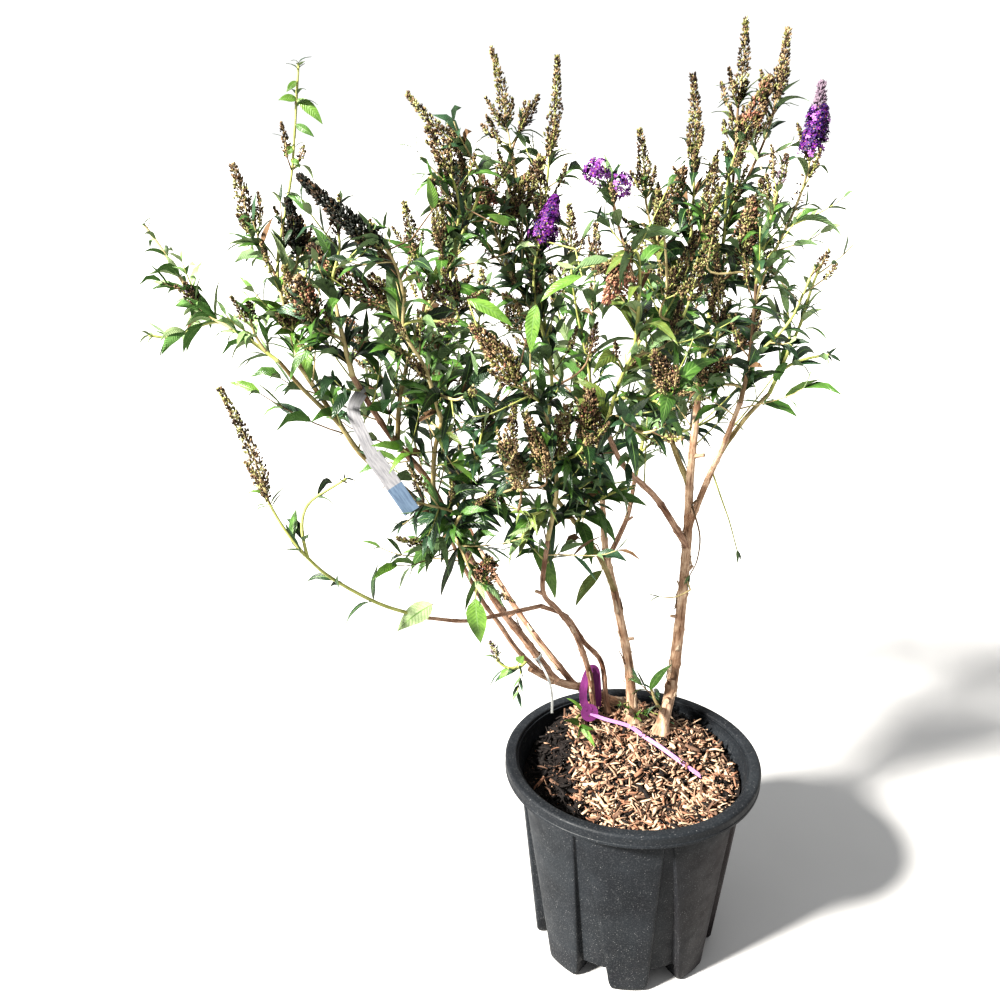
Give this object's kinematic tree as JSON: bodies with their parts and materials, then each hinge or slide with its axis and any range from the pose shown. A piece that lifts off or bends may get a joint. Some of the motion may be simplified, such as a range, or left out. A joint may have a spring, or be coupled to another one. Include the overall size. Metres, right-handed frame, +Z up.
{
  "type": "potted butterfly bush",
  "caption": "Butterfly bush with tan stems, lance-shaped leaves and slender flower spikes, partly in purple bloom, in a black fluted nursery pot.",
  "frame": {"origin": "centre of the pot's underside, on the ground plane under the pot's axis", "axes": "+Z up along the pot's axis, -Y towards the viewer of the picture, +X to the viewer's right"},
  "size_m": [0.7843, 0.6109, 1.1984],
  "materials": {
    "pot": "matte",
    "potting_mix": "matte",
    "stems": "matte",
    "foliage": "matte",
    "plant_label": "satin",
    "hanging_label": "satin",
    "tie": "satin"
  },
  "bodies": {
    "root": {"cable_tie": "tie", "cut_stem": "stems", "far_left_bough": "stems", "foliage_back_centre": "foliage", "foliage_back_left": "foliage", "foliage_back_right": "foliage", "foliage_centre_front": "foliage", "foliage_centre_left": "foliage", "foliage_centre_low": "foliage", "foliage_centre_top": "foliage", "foliage_crown_inner": "foliage", "foliage_crown_right": "foliage", "foliage_far_left": "foliage", "foliage_front_right": "foliage", "foliage_left_low": "foliage", "foliage_left_outer": "foliage", "foliage_left_shoulder": "foliage", "foliage_left_sprout": "foliage", "foliage_left_top": "foliage", "foliage_long_shoot": "foliage", "foliage_low_sprout": "foliage", "foliage_lower_left": "foliage", "foliage_right_arch": "foliage", "foliage_right_side": "foliage", "foliage_right_sprout": "foliage", "hanging_label": "hanging_label", "left_back_bough": "stems", "left_inner_bough": "stems", "left_main_bough": "stems", "left_mid_bough": "stems", "left_outer_bough": "stems", "left_second_bough": "stems", "long_bough": "stems", "middle_back_bough": "stems", "middle_front_bough": "stems", "middle_stem": "stems", "plant_label": "plant_label", "pot": "pot", "potting_mix": "potting_mix", "right_arch_bough": "stems", "right_front_bough": "stems", "right_inner_bough": "stems", "right_side_bough": "stems", "right_stem": "stems", "thin_left_stem": "stems", "thin_right_stem": "stems"}
  },
  "joints": []
}
